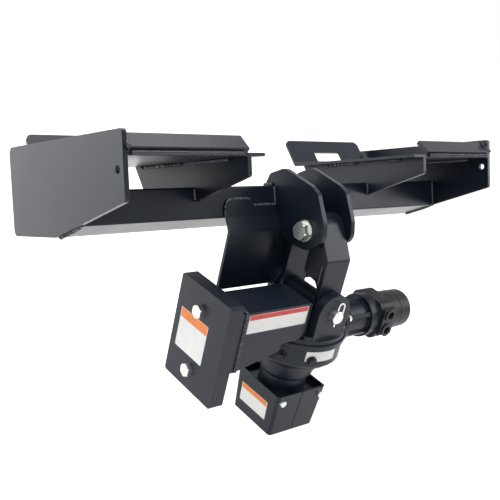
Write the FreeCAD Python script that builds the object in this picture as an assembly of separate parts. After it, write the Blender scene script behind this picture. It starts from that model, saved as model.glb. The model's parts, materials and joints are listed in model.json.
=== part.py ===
"""Earth auger drive on a skid-steer coupler frame.

Row frame: +X to the machine's left-right, +Z up, millimetres. The origin is the middle of the
coupler seat, which is the face that lies against the carrier's quick-attach plate.
The drive head hangs plumb, just clear of the cradle plate behind it, so the coupler frame is
tilted about X by CRADLE_TILT. Frame pieces are drawn square in frame coordinates (x, depth from
the front edge, height from the top edge) and then turned as one. Drive pieces are drawn about
the swing pivot.
"""
import FreeCAD, Part
import math
import os

V = FreeCAD.Vector
AX = V(1, 0, 0)
AY = V(0, 1, 0)
AZ = V(0, 0, 1)

# ---------------------------------------------------------------- coupler frame
FRAME_WIDTH = 1143.0
CRADLE_TILT = 22.5
END_PLATE = 10.0
END_DEPTH = 492.0
END_HEIGHT = 198.0
END_FRONT_HEIGHT = 129.0
END_CHAMFER_DEPTH = 286.0
END_CORNER_R = 8.0
END_BACK_CORNER_R = 16.0
END_HOLE_D = 16.0
END_HOLE_INSET = 20.0
END_HOLE_DROP = 71.5
SEAT_PLATE = 7.0
SEAT_DROP = 41.0
SEAT_INNER_X = 242.0
SEAT_DEPTH = 427.0
SEAT_BEND_R = 9.0
LIP_LEAN = 30.0
LIP_LENGTH = 84.0
LIP_INSET = 16.5
LIP_CORNER_R = 16.0
SLOT_WIDTH = 108.0
SLOT_HEIGHT = 32.0
SLOT_FOOT = 13.0
SLOT_CORNER_R = 3.0
SLOT_CENTRE_X = 392.0
HOOK_PLATE = 11.0
HOOK_REACH = 40.0
HOOK_LEAN = 45.0
GUSSET_PLATE = 10.0
GUSSET_X = 278.0
GUSSET_FRONT_HEIGHT = 40.0
GUSSET_CORNER_R = 7.0
GUSSET_HEEL_DROP = 136.0
BEAM_DEPTH = 188.0
BEAM_TOP_DROP = 104.0
BEAM_PLATE = 8.0
BEAM_TOP_FLANGE = 62.0
BEAM_BEND_R = 12.0

# ---------------------------------------------------------------- ears and cradle
EAR_PLATE = 12.0
EAR_GAP = 80.0
PIVOT_DEPTH = 88.0
PIVOT_DROP = 212.0
EAR_EYE_R = 47.0
EAR_FRONT_R = 61.0
CRADLE_PLATE = 8.0
CRADLE_HALF_WIDTH = 205.0
CRADLE_KNEE_DROP = 206.0
CRADLE_KNEE_SET = 8.0
CRADLE_FOOT_DROP = 342.0
CRADLE_LAP = 24.0
CRADLE_LOBE_WIDTH = 80.0
CRADLE_LOBE_HEIGHT = 16.0
CRADLE_LOBE_R = 20.0
CRADLE_BEND_R = 14.0
CRADLE_CORNER_R = 12.0
CRADLE_EAR_RELIEF = 2.0

# ---------------------------------------------------------------- swing yoke
PIVOT_BOLT_D = 25.4
PIVOT_HEAD_AF = 38.1
PIVOT_HEAD = 16.0
PIVOT_WASHER_D = 51.0
PIVOT_WASHER = 4.0
BOLT_TAIL = 7.0
RUN_FIT = 0.05
THRUST_GAP = 0.3
THRUST_WASHER = 2.0
TUBE_R = 28.0
BUSH_WALL = 5.0
BUSH_LENGTH = 26.0
STRAP = 12.0
STRAP_WIDTH = 75.0
STRAP_FRONT_Y = -80.0
STRAP_REAR_Y = 55.0
STRAP_KNEE_DROP = 46.0
STRAP_EYE_R = 32.0
YOKE_GUSSET = 8.0
YOKE_GUSSET_DROP = 104.0
YOKE_GUSSET_BACK_Y = -14.0
NIPPLE_D = 8.0
NIPPLE_LENGTH = 11.0
NIPPLE_X = -20.0

# ---------------------------------------------------------------- gearbox
PIN_DROP = 172.0
PIN_D = 32.0
GEARBOX_R = 120.0
GEARBOX_TOP_DROP = 246.0
CROWN_FLOOR_GAP = 1.0
RIM_R = 124.0
RIM_HEIGHT = 11.0
SNOUT_R = 60.0
SNOUT_DROP = 426.0
SNOUT_CONE_R = 68.0
SNOUT_CONE_DROP = 372.0
CASE_WALL = 14.0
COVER_R = 119.0
COVER_PLATE = 12.0
COVER_EDGE_R = 3.0
COVER_BOLTS = 12
COVER_BOLT_R = 108.0
COVER_BOLT_D = 10.0
LUG_R = 50.0
FRONT_LUG = 24.0
FRONT_LUG_Y = -84.0
REAR_LUG_Y = 59.0
BRIDGE_FRONT_Y = -64.0
BRIDGE_REAR_Y = 39.0
BRIDGE_HALF_WIDTH = 48.0
BRIDGE_R = 30.0
BUMPER_GAP = 0.3
PIN_HEAD_GAP = 1.0
PIN_FRONT = 17.0
CLIP_WIRE_D = 4.0
PLUG_AF = 17.0
PLUG_HEAD = 8.0

# ---------------------------------------------------------------- input, motor
INPUT_DROP = 262.0
ADAPTER_START_X = 112.0
ADAPTER_FLANGE_R = 61.0
ADAPTER_FLANGE = 14.0
ADAPTER_NECK_R = 47.0
ADAPTER_END_X = 236.0
ADAPTER_BORE_R = 33.0
ADAPTER_BOLT_R = 54.0
ADAPTER_BOLT_D = 12.0
ADAPTER_BOLTS = 6
MOTOR_FLANGE = 16.0
PORT_BLOCK = 52.0
PORT_BLOCK_SIZE = 108.0
PORT_BLOCK_R = 22.0
PORT_FACE = 12.0
PORT_D = 22.0
PORT_BOSS_D = 36.0
PORT_PITCH = 44.0
GEROTOR_R = 53.0
GEROTOR_LENGTH = 52.0
SPACER_PLATE = 7.0
GEROTOR_GROOVE = 3.0
END_CAP = 38.0
END_CAP_R = 52.0
END_CAP_FILLET = 10.0
MOTOR_BOLTS = 7
MOTOR_BOLT_R = 42.0
MOTOR_BOLT_D = 10.0

# ---------------------------------------------------------------- counterweight
WEIGHT_OUTER_X = -305.0
WEIGHT_PLATE = 12.0
WEIGHT_PLATES = 3
WEIGHT_TOP_DROP = 121.0
WEIGHT_HEIGHT = 250.0
WEIGHT_WIDTH = 182.0
WEIGHT_CORNER_R = 7.0
WEIGHT_BOLT_D = 19.0
WEIGHT_BOLT_AF = 28.6
WEIGHT_BOLT_HEAD = 12.0
WEIGHT_NUT = 16.0
WEIGHT_BOLT_Y = 5.0
WEIGHT_UPPER_BOLT_DROP = 176.0
NUT_BELOW_HEEL = 39.0
ARM_PLATE = 8.0
ARM_FRONT_Y = -91.0
ARM_REAR_Y = 14.0
ARM_TOP_DROP = 140.0
ARM_INNER_X = -62.0
ARM_HEEL_DROP = 285.0
ARM_END_PLATE = 12.0

# ---------------------------------------------------------------- guard and output
GUARD_TOP_DROP = 403.0
GUARD_HEIGHT = 116.0
GUARD_RECESS = 14.0
GUARD_TOP = 160.0
GUARD_FOOT = 147.0
GUARD_WALL = 5.0
GUARD_CORNER_R = 9.0
GUARD_SPLIT = 2.5
GUARD_BOLT_D = 10.0
GUARD_BOLT_AF = 16.0
GUARD_BOLT_INSET = 17.0
GUARD_BOLT_DROP = 18.0
SHAFT_D = 50.8
JOURNAL_D = 50.0
JOURNAL_SHOULDER = 1.0
SHAFT_LENGTH = 78.0
SHAFT_PIN_D = 20.0
SHAFT_PIN_UP = 32.0
SHAFT_CHAMFER = 3.0
SEAL_R = 44.0
SEAL_HEIGHT = 9.0
BEARING_R = 46.0
BEARING_HEIGHT = 22.0
CROWN_R = 84.0
CROWN_BLANK = 14.0
CROWN_FACE = 26.0
CROWN_TEETH = 36
PINION_TEETH = 12
PINION_R = 21.4
PINION_ROOM = 2.6
TOOTH_HEIGHT = 5.0
GEAR_GAP = 0.6
INPUT_SHAFT_R = 16.0
INPUT_BEARING = 18.0

# ---------------------------------------------------------------- derived places
HALF = FRAME_WIDTH / 2
BEAM_HALF = HALF - END_PLATE
LIP_OUTER_X = BEAM_HALF - LIP_INSET
SEAT_MID = V(0, END_DEPTH / 2, -SEAT_DROP)
CHAMFER_SLOPE = (END_HEIGHT - END_FRONT_HEIGHT) / END_CHAMFER_DEPTH
BEAM_FOOT_DROP = END_FRONT_HEIGHT + CHAMFER_SLOPE * BEAM_DEPTH
TILT = FreeCAD.Rotation(AX, -CRADLE_TILT)
PIVOT = TILT.multVec(V(0, PIVOT_DEPTH, -PIVOT_DROP) - SEAT_MID)
CRADLE_FRONT = BEAM_DEPTH - CRADLE_PLATE
tilt_rad = math.radians(CRADLE_TILT)
KNEE = (CRADLE_FRONT - CRADLE_KNEE_SET - PIVOT_DEPTH, PIVOT_DROP - CRADLE_KNEE_DROP)
STOP_Y = KNEE[0] * math.cos(tilt_rad) + KNEE[1] * math.sin(tilt_rad)
REAR_LUG = STOP_Y - BUMPER_GAP - REAR_LUG_Y
EAR_IN = EAR_GAP / 2
EAR_OUT = EAR_IN + EAR_PLATE
CROWN_DROP = INPUT_DROP + PINION_R + GEAR_GAP + TOOTH_HEIGHT
CASE_FOOT_DROP = CROWN_DROP + CROWN_BLANK + CROWN_FLOOR_GAP + CASE_WALL
WEIGHT_LOWER_BOLT_DROP = ARM_HEEL_DROP + NUT_BELOW_HEEL
PINION_POCKET_R = PINION_R + PINION_ROOM
WEIGHT_INNER_X = WEIGHT_OUTER_X + WEIGHT_PLATE * WEIGHT_PLATES


# ---------------------------------------------------------------- helpers
def save(name, shape, place=None):
    """Write one sub-part to its STEP file, moved from its drawing frame to the row frame."""
    moved = shape.copy()
    if place is not None:
        moved.transformShape(place.toMatrix())
    moved.exportStep("parts/" + name + ".step")
    return moved


FRAME_PLACE = FreeCAD.Placement(TILT.multVec(V(0, 0, 0) - SEAT_MID), TILT)
DRIVE_PLACE = FreeCAD.Placement(PIVOT, FreeCAD.Rotation())


def save_frame(name, shape):
    return save(name, shape, FRAME_PLACE)


def save_drive(name, shape):
    return save(name, shape, DRIVE_PLACE)


def box(x0, x1, y0, y1, z0, z1):
    return Part.makeBox(x1 - x0, y1 - y0, z1 - z0, V(x0, y0, z0))


def rod(radius, start, direction, length):
    return Part.makeCylinder(radius, length, start, direction)


def pipe(outer, inner, start, direction, length):
    return rod(outer, start, direction, length).cut(rod(inner, start, direction, length))


def fuse(shapes):
    result = shapes[0]
    for shape in shapes[1:]:
        result = result.fuse(shape)
    return result.removeSplitter()


def rounded_outline(points, radii):
    """Closed wire through points, with each corner rounded by its own radius (0 = sharp)."""
    count = len(points)
    edges = []
    starts = []
    ends = []
    arcs = []
    for i in range(count):
        here = points[i]
        back = (points[i - 1] - here)
        ahead = (points[(i + 1) % count] - here)
        back.normalize()
        ahead.normalize()
        radius = radii[i]
        if radius <= 0:
            starts.append(here)
            ends.append(here)
            arcs.append(None)
            continue
        half_angle = back.getAngle(ahead) / 2
        reach = radius / math.tan(half_angle)
        middle = back + ahead
        middle.normalize()
        centre = here + middle * (radius / math.sin(half_angle))
        starts.append(here + back * reach)
        ends.append(here + ahead * reach)
        arcs.append(centre - middle * radius)
    for i in range(count):
        if arcs[i] is not None:
            edges.append(Part.Arc(starts[i], arcs[i], ends[i]).toShape())
        following = starts[(i + 1) % count]
        if ends[i].distanceToPoint(following) > 1e-6:
            edges.append(Part.LineSegment(ends[i], following).toShape())
    return Part.Wire(edges)


def side_plate(points, radii, x0, thickness):
    """Plate lying across X, from an outline of (y, z) points."""
    corners = [V(x0, y, z) for y, z in points]
    return Part.Face(rounded_outline(corners, radii)).extrude(V(thickness, 0, 0))


def offset_strip(points, thickness, radius, x0, x1):
    """Folded plate: a centre-free strip whose front side runs through (y, z) points.

    The plate lies to the left of the direction of travel. Inner bends get the given radius.
    """
    count = len(points)
    far = []
    for i in range(count):
        normals = []
        for a, b in ((i - 1, i), (i, i + 1)):
            if a < 0 or b >= count:
                continue
            dy = points[b][0] - points[a][0]
            dz = points[b][1] - points[a][1]
            size = math.hypot(dy, dz)
            normals.append((-dz / size, dy / size))
        if len(normals) == 1:
            shift = normals[0]
        else:
            sum_y = normals[0][0] + normals[1][0]
            sum_z = normals[0][1] + normals[1][1]
            scale = 2 / (sum_y * sum_y + sum_z * sum_z)
            shift = (sum_y * scale, sum_z * scale)
        far.append((points[i][0] + shift[0] * thickness, points[i][1] + shift[1] * thickness))
    outline = list(points) + far[::-1]
    radii = []
    for side in (points, far):
        for i in range(count):
            if i in (0, count - 1):
                radii.append(0)
                continue
            turn = cross_turn(side, i)
            inner = (turn > 0) == (side is points)
            radii.append(radius if inner else radius + thickness)
    ordered = radii[:count] + radii[count:][::-1]
    return side_plate(outline, ordered, x0, x1 - x0)


def cross_turn(points, i):
    ay = points[i][0] - points[i - 1][0]
    az = points[i][1] - points[i - 1][1]
    by = points[i + 1][0] - points[i][0]
    bz = points[i + 1][1] - points[i][1]
    return ay * bz - az * by


def hexagon(across_flats, start, direction, length, turn=0.0):
    """Hexagonal prism along direction."""
    radius = across_flats / math.sqrt(3)
    corners = []
    for k in range(7):
        angle = math.radians(60 * k + turn)
        corners.append(V(radius * math.cos(angle), radius * math.sin(angle), 0))
    prism = Part.Face(Part.makePolygon(corners)).extrude(V(0, 0, length))
    crown = Part.makeCone(radius * 1.02, radius * 0.92, length * 0.35, V(0, 0, length * 0.65))
    body = Part.makeCylinder(radius * 1.02, length * 0.65)
    prism = prism.common(body.fuse(crown))
    prism.Placement = FreeCAD.Placement(start, FreeCAD.Rotation(AZ, direction))
    return prism


def bolt(diameter, across_flats, head, start, direction, length):
    """Hex bolt whose head sits outside start and whose shank runs along direction."""
    back = direction * -1
    shank = rod(diameter / 2, start, direction, length)
    return hexagon(across_flats, start, back, head).fuse(shank)


def mirror_x(shape):
    return shape.mirror(V(0, 0, 0), AX)


# ---------------------------------------------------------------- coupler frame pieces
def end_plate():
    """Outer end plate on the +X side: a bevelled blank with one hole near the front edge."""
    points = [(0, 0), (0, -END_FRONT_HEIGHT), (END_CHAMFER_DEPTH, -END_HEIGHT),
              (END_DEPTH, -END_HEIGHT), (END_DEPTH, 0)]
    radii = [END_CORNER_R, END_CORNER_R, 2 * END_CORNER_R, END_BACK_CORNER_R, END_BACK_CORNER_R]
    plate = side_plate(points, radii, BEAM_HALF, END_PLATE)
    hole = rod(END_HOLE_D / 2, V(BEAM_HALF - 1, END_HOLE_INSET, -END_HOLE_DROP), AX, END_PLATE + 2)
    return plate.cut(hole)


def lip_point(along, out=0.0):
    """Point of the pin lip: along its slope from the seat's underside, and out from its back."""
    lean = math.radians(LIP_LEAN)
    y = SEAT_DEPTH + along * math.sin(lean) + out * math.cos(lean)
    z = -SEAT_DROP - SEAT_PLATE + along * math.cos(lean) - out * math.sin(lean)
    return (y, z)


def coupler_plate():
    """Seat plate on the +X side, folded up at the back into the slotted pin lip."""
    foot = -SEAT_DROP - SEAT_PLATE
    strip = offset_strip([(0, foot), (SEAT_DEPTH, foot), lip_point(LIP_LENGTH)],
                         SEAT_PLATE, SEAT_BEND_R, SEAT_INNER_X, BEAM_HALF)
    lean = math.radians(LIP_LEAN)
    turn = FreeCAD.Rotation(AX, -LIP_LEAN)
    root_y, root_z = lip_point(0, -40)
    trim = box(LIP_OUTER_X, BEAM_HALF + 1, 0, 80, SLOT_FOOT + 3, LIP_LENGTH + 5)
    corners = []
    for edge, sign in ((SEAT_INNER_X, 1), (LIP_OUTER_X, -1)):
        square = box(min(edge, edge + sign * LIP_CORNER_R), max(edge, edge + sign * LIP_CORNER_R),
                     0, 80, LIP_LENGTH - LIP_CORNER_R, LIP_LENGTH + 1)
        corner = rod(LIP_CORNER_R, V(edge + sign * LIP_CORNER_R, -1, LIP_LENGTH - LIP_CORNER_R),
                     AY, 82)
        corners.append(square.cut(corner))
    slot_points = [V(x, 0, z) for x, z in (
        (SLOT_CENTRE_X - SLOT_WIDTH / 2, SLOT_FOOT), (SLOT_CENTRE_X + SLOT_WIDTH / 2, SLOT_FOOT),
        (SLOT_CENTRE_X + SLOT_WIDTH / 2, SLOT_FOOT + SLOT_HEIGHT),
        (SLOT_CENTRE_X - SLOT_WIDTH / 2, SLOT_FOOT + SLOT_HEIGHT))]
    slot = Part.Face(rounded_outline(slot_points, [SLOT_CORNER_R] * 4)).extrude(V(0, 80, 0))
    tool = fuse([trim, slot] + corners)
    tool.Placement = FreeCAD.Placement(V(0, root_y, root_z), turn)
    return strip.cut(tool)


def hook_bar():
    """Bevelled hook plate on the +X side, standing on the front edge of the seat plate."""
    lean = math.radians(HOOK_LEAN)
    root = (0.0, -SEAT_DROP)
    along = (math.sin(lean) * HOOK_REACH, math.cos(lean) * HOOK_REACH)
    out = (-math.cos(lean) * HOOK_PLATE, math.sin(lean) * HOOK_PLATE)
    points = [root, (root[0] + along[0], root[1] + along[1]),
              (root[0] + along[0] + out[0], root[1] + along[1] + out[1]),
              (root[0] + out[0], root[1] + out[1])]
    inner = GUSSET_X + GUSSET_PLATE
    return side_plate(points, [0, 1.5, 1.5, 1.5], inner, BEAM_HALF - inner)


def inner_gusset():
    """Inner gusset on the +X side: under the seat, over the beam and down its face."""
    top = -SEAT_DROP - SEAT_PLATE
    back = lip_point(0)
    beam_top = -BEAM_TOP_DROP
    heel_y = back[0] - (top - beam_top) * math.tan(math.radians(LIP_LEAN))
    points = [(0, top), (0, top - GUSSET_FRONT_HEIGHT), (BEAM_DEPTH, -GUSSET_HEEL_DROP),
              (BEAM_DEPTH, beam_top), (heel_y, beam_top), back]
    radii = [0, GUSSET_CORNER_R, 0, 0, GUSSET_CORNER_R, 0]
    return side_plate(points, radii, GUSSET_X, GUSSET_PLATE)


def crossbeam():
    """Folded beam between the end plates: top flange, upright face and sloped foot flange."""
    foot_y = END_CHAMFER_DEPTH
    foot_z = -END_HEIGHT
    points = [(foot_y, foot_z), (BEAM_DEPTH, -BEAM_FOOT_DROP), (BEAM_DEPTH, -BEAM_TOP_DROP),
              (BEAM_DEPTH + BEAM_TOP_FLANGE, -BEAM_TOP_DROP)]
    strip = offset_strip(points[::-1], BEAM_PLATE, BEAM_BEND_R - BEAM_PLATE, -BEAM_HALF, BEAM_HALF)
    return strip


def cradle_profile():
    """(y, z) points down the cradle plate's front side, from the lap to the foot."""
    lap_top = -BEAM_FOOT_DROP + CRADLE_LAP + CRADLE_LOBE_HEIGHT
    knee_y = CRADLE_FRONT - CRADLE_KNEE_SET
    foot_y = knee_y + (CRADLE_FOOT_DROP - CRADLE_KNEE_DROP) * math.tan(tilt_rad)
    return [(CRADLE_FRONT, lap_top), (CRADLE_FRONT, -BEAM_FOOT_DROP),
            (knee_y, -CRADLE_KNEE_DROP), (foot_y, -CRADLE_FOOT_DROP)]


def cradle_plate():
    """Bent stop plate lapped on the beam's face; its lower leaf is what the drive rests on."""
    half = CRADLE_HALF_WIDTH
    strip = offset_strip(cradle_profile(), CRADLE_PLATE, CRADLE_BEND_R, -half, half)
    top = -BEAM_FOOT_DROP + CRADLE_LAP + CRADLE_LOBE_HEIGHT
    shoulder = top - CRADLE_LOBE_HEIGHT
    inner = half - CRADLE_LOBE_WIDTH
    deep = CRADLE_PLATE + 2 * CRADLE_KNEE_SET
    front = CRADLE_FRONT - CRADLE_KNEE_SET
    strip = strip.cut(box(-inner, inner, front, front + deep, shoulder, top + 1))
    relief = EAR_OUT + 2 * CRADLE_EAR_RELIEF
    lap_foot = -BEAM_FOOT_DROP - CRADLE_EAR_RELIEF
    strip = strip.cut(box(-relief, relief, front, front + deep, lap_foot, top + 1))
    for sign in (-1, 1):
        for edge, inward in ((half, -1), (inner, 1)):
            corner_x = sign * edge
            radius = min(CRADLE_LOBE_R, CRADLE_LOBE_HEIGHT)
            centre_x = sign * (edge + inward * radius)
            square = box(min(centre_x, corner_x), max(centre_x, corner_x), front,
                         front + deep, top - radius, top + 1)
            square = square.cut(rod(radius, V(centre_x, front, top - radius), AY, deep))
            strip = strip.cut(square)
        foot_corner = rod(CRADLE_CORNER_R, V(sign * (half - CRADLE_CORNER_R), front - 20,
                                             -CRADLE_FOOT_DROP + CRADLE_CORNER_R), AY, HALF)
        low = -CRADLE_FOOT_DROP - 10
        square = box(min(sign * (half - CRADLE_CORNER_R), sign * (half + 1)),
                     max(sign * (half - CRADLE_CORNER_R), sign * (half + 1)), front - 20,
                     front + 180, low, -CRADLE_FOOT_DROP + CRADLE_CORNER_R)
        strip = strip.cut(square.cut(foot_corner))
    return strip


def ear():
    """Pivot ear on the +X side: a hooked plate welded to the beam's top and face."""
    eye_y = PIVOT_DEPTH
    eye_z = -PIVOT_DROP
    front_y = eye_y - EAR_FRONT_R
    beam_top = -BEAM_TOP_DROP
    points = [(front_y + 16, eye_z + 84), (front_y, eye_z + 18), (front_y + 4, eye_z - 26),
              (eye_y - 4, eye_z - EAR_EYE_R), (eye_y + 52, eye_z - 30), (BEAM_DEPTH, eye_z + 6),
              (BEAM_DEPTH, beam_top), (BEAM_DEPTH + 36, beam_top), (BEAM_DEPTH + 14, beam_top + 29),
              (BEAM_DEPTH - 38, beam_top + 39), (front_y + 34, eye_z + 101)]
    radii = [20, 40, 28, 36, 30, 0, 0, 0, 16, 34, 24]
    plate = side_plate(points, radii, EAR_IN, EAR_PLATE)
    bore = rod(PIVOT_BOLT_D / 2 + RUN_FIT, V(EAR_IN - 1, eye_y, eye_z), AX, EAR_PLATE + 2)
    return plate.cut(bore).cut(cradle_shadow()).cut(cradle_plate())


def cradle_shadow():
    """Everything behind the cradle plate's front side, as a cutting tool for the ears."""
    top = -BEAM_FOOT_DROP - CRADLE_EAR_RELIEF
    knee, foot = cradle_profile()[2:]
    back = foot[0] + END_DEPTH
    points = [(CRADLE_FRONT, top), knee, foot, (back, foot[1]), (back, top)]
    return side_plate(points, [0] * len(points), -HALF, FRAME_WIDTH)


def pivot_hardware():
    """Pivot bolt, its two washers and its nut, drawn about the pivot."""
    seat = EAR_OUT + PIVOT_WASHER
    head = hexagon(PIVOT_HEAD_AF, V(-seat, 0, 0), AX * -1, PIVOT_HEAD, 90)
    reach = 2 * seat + PIVOT_HEAD + BOLT_TAIL
    shank = rod(PIVOT_BOLT_D / 2, V(-seat, 0, 0), AX, reach)
    washers = []
    for start in (-seat, EAR_OUT):
        washers.append(pipe(PIVOT_WASHER_D / 2, PIVOT_BOLT_D / 2 + RUN_FIT, V(start, 0, 0), AX,
                            PIVOT_WASHER))
    nut = hexagon(PIVOT_HEAD_AF, V(seat, 0, 0), AX, PIVOT_HEAD, 90)
    nut = nut.cut(rod(PIVOT_BOLT_D / 2 + RUN_FIT, V(0, 0, 0), AX, 2 * reach))
    return head.fuse(shank), Part.makeCompound(washers), nut


# ---------------------------------------------------------------- yoke pieces
def yoke_strap():
    """One strap bent over the pivot tube, with a front and a rear leg for the lower pin."""
    outer_r = TUBE_R + STRAP
    foot = -PIN_DROP - STRAP_EYE_R
    knee = -STRAP_KNEE_DROP

    def leg(y, radius, side):
        """Tangent point on a circle about the pivot, seen from the knee at y."""
        reach = math.hypot(y, knee)
        base = math.atan2(knee, y)
        swing = math.acos(radius / reach)
        angle = base - side * swing
        return V(0, radius * math.cos(angle), radius * math.sin(angle))

    def contour(front_y, rear_y, radius):
        front_touch = leg(front_y, radius, 1)
        rear_touch = leg(rear_y, radius, -1)
        points = [V(0, front_y, foot), V(0, front_y, knee), front_touch]
        return points, V(0, 0, radius), [rear_touch, V(0, rear_y, knee), V(0, rear_y, foot)]

    outer = contour(STRAP_FRONT_Y, STRAP_REAR_Y, outer_r)
    inner = contour(STRAP_FRONT_Y + STRAP, STRAP_REAR_Y - STRAP, TUBE_R)
    shells = []
    for front, crest, rear in (outer, inner):
        edges = [Part.LineSegment(front[0], front[1]).toShape(),
                 Part.LineSegment(front[1], front[2]).toShape(),
                 Part.Arc(front[2], crest, rear[0]).toShape(),
                 Part.LineSegment(rear[0], rear[1]).toShape(),
                 Part.LineSegment(rear[1], rear[2]).toShape(),
                 Part.LineSegment(rear[2], front[0]).toShape()]
        shells.append(Part.Face(Part.Wire(edges)))
    section = shells[0].cut(shells[1])
    strap = section.extrude(V(STRAP_WIDTH, 0, 0))
    strap.translate(V(-STRAP_WIDTH / 2, 0, 0))
    bend_edges = [e for e in strap.Edges if knee_edge(e)]
    strap = strap.makeFillet(STRAP, bend_edges)
    cut_y = STRAP_FRONT_Y - 1
    span = STRAP_REAR_Y - STRAP_FRONT_Y + 2
    half = STRAP_WIDTH / 2
    keep = box(-half, half, cut_y, cut_y + span, -PIN_DROP, TUBE_R + STRAP)
    keep = keep.fuse(rod(half, V(0, cut_y, -PIN_DROP), AY, span))
    strap = strap.common(keep)
    return strap.cut(rod(PIN_D / 2 + RUN_FIT, V(0, cut_y, -PIN_DROP), AY, span))


def knee_edge(edge):
    """True for the four long edges where the strap's legs bend, below the pivot."""
    ends = [vertex.Point for vertex in edge.Vertexes]
    if len(ends) != 2 or abs(ends[0].x - ends[1].x) < STRAP_WIDTH / 2:
        return False
    return all(abs(point.z + STRAP_KNEE_DROP) < 1e-3 for point in ends)


def pivot_tube():
    return pipe(TUBE_R, TUBE_R - 2 * BUSH_WALL, V(-STRAP_WIDTH / 2, 0, 0), AX, STRAP_WIDTH)


def pivot_bushes():
    bushes = []
    for start in (-STRAP_WIDTH / 2, STRAP_WIDTH / 2 - BUSH_LENGTH):
        bushes.append(pipe(TUBE_R - 2 * BUSH_WALL, PIVOT_BOLT_D / 2 + RUN_FIT, V(start, 0, 0), AX,
                           BUSH_LENGTH))
    return Part.makeCompound(bushes)


def thrust_washers():
    washers = []
    for start in (-EAR_IN + THRUST_GAP / 2, EAR_IN - THRUST_GAP / 2 - THRUST_WASHER):
        washers.append(pipe(TUBE_R - 1, PIVOT_BOLT_D / 2 + RUN_FIT, V(start, 0, 0), AX,
                            THRUST_WASHER))
    return Part.makeCompound(washers)


def yoke_gusset():
    """Web on the +X side, between the front leg and the pivot tube."""
    front = STRAP_FRONT_Y + STRAP
    points = [(front, -YOKE_GUSSET_DROP - 14), (front + 12, -YOKE_GUSSET_DROP),
              (YOKE_GUSSET_BACK_Y, -YOKE_GUSSET_DROP + 6), (YOKE_GUSSET_BACK_Y, -TUBE_R / 2),
              (-TUBE_R / 2, 0), (front, -STRAP_KNEE_DROP + 8)]
    web = side_plate(points, [0, 6, 10, 0, 0, 0], STRAP_WIDTH / 2 - YOKE_GUSSET, YOKE_GUSSET)
    web = web.cut(rod(TUBE_R, V(-HALF, 0, 0), AX, FRAME_WIDTH))
    return web.cut(yoke_strap())


def grease_nipple():
    lean = V(0, math.sin(math.radians(20)), -math.cos(math.radians(20)))
    start = V(NIPPLE_X, 0, 0) + lean * TUBE_R
    body = rod(NIPPLE_D / 2, start, lean, NIPPLE_LENGTH * 0.55)
    body = body.cut(rod(TUBE_R, V(-HALF, 0, 0), AX, FRAME_WIDTH))
    neck = rod(NIPPLE_D * 0.28, start, lean, NIPPLE_LENGTH)
    knob = Part.makeSphere(NIPPLE_D * 0.4, start + lean * NIPPLE_LENGTH)
    shape = fuse([body, neck, knob])
    return shape.cut(rod(TUBE_R, V(-HALF, 0, 0), AX, FRAME_WIDTH))


# ---------------------------------------------------------------- gearbox pieces
def revolve_drive(points, radii=None):
    """Solid of revolution about the output axis, from (radius, z) points."""
    corners = [V(r, 0, z) for r, z in points]
    wire = rounded_outline(corners, radii or [0] * len(points))
    return Part.Face(wire).revolve(V(0, 0, 0), AZ, 360)


def gearbox_housing():
    """Cast case: bolted rim, drum wall, shoulder and the snout that carries the output shaft."""
    top = -GEARBOX_TOP_DROP
    foot = -CASE_FOOT_DROP
    floor = foot + CASE_WALL
    bore = BEARING_R
    shaft = JOURNAL_D / 2 + 4
    points = [(RIM_R, top), (RIM_R, top - RIM_HEIGHT), (GEARBOX_R, top - RIM_HEIGHT - 3),
              (GEARBOX_R, foot + 14), (GEARBOX_R - 14, foot), (SNOUT_CONE_R + 14, foot - 12),
              (SNOUT_CONE_R, -SNOUT_CONE_DROP), (SNOUT_R, -SNOUT_CONE_DROP - 8),
              (SNOUT_R, -SNOUT_DROP), (SEAL_R, -SNOUT_DROP), (SEAL_R, -SNOUT_DROP + SEAL_HEIGHT),
              (shaft, -SNOUT_DROP + SEAL_HEIGHT), (shaft, -SNOUT_DROP + SEAL_HEIGHT + 10),
              (bore, -SNOUT_DROP + SEAL_HEIGHT + 10), (bore, floor), (GEARBOX_R - CASE_WALL, floor),
              (GEARBOX_R - CASE_WALL, top)]
    radii = [2, 2, 0, 9, 6, 12, 6, 4, 2, 0, 0, 0, 0, 0, 0, 8, 0]
    case = revolve_drive(points, radii)
    window = rod(PINION_POCKET_R, V(CROWN_R - 40, 0, -INPUT_DROP), AX, 80)
    pad = rod(ADAPTER_FLANGE_R, V(GEARBOX_R - CASE_WALL + 2, 0, -INPUT_DROP), AX,
              ADAPTER_START_X - GEARBOX_R + CASE_WALL + 6)
    pad = pad.common(box(0, 2 * HALF, -HALF, HALF, -INPUT_DROP - ADAPTER_FLANGE_R, top))
    case = case.fuse(pad).removeSplitter()
    flat = box(ADAPTER_START_X + 8, HALF, -HALF, HALF, foot - 40, top + 1)
    return case.cut(window).cut(flat)


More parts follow.
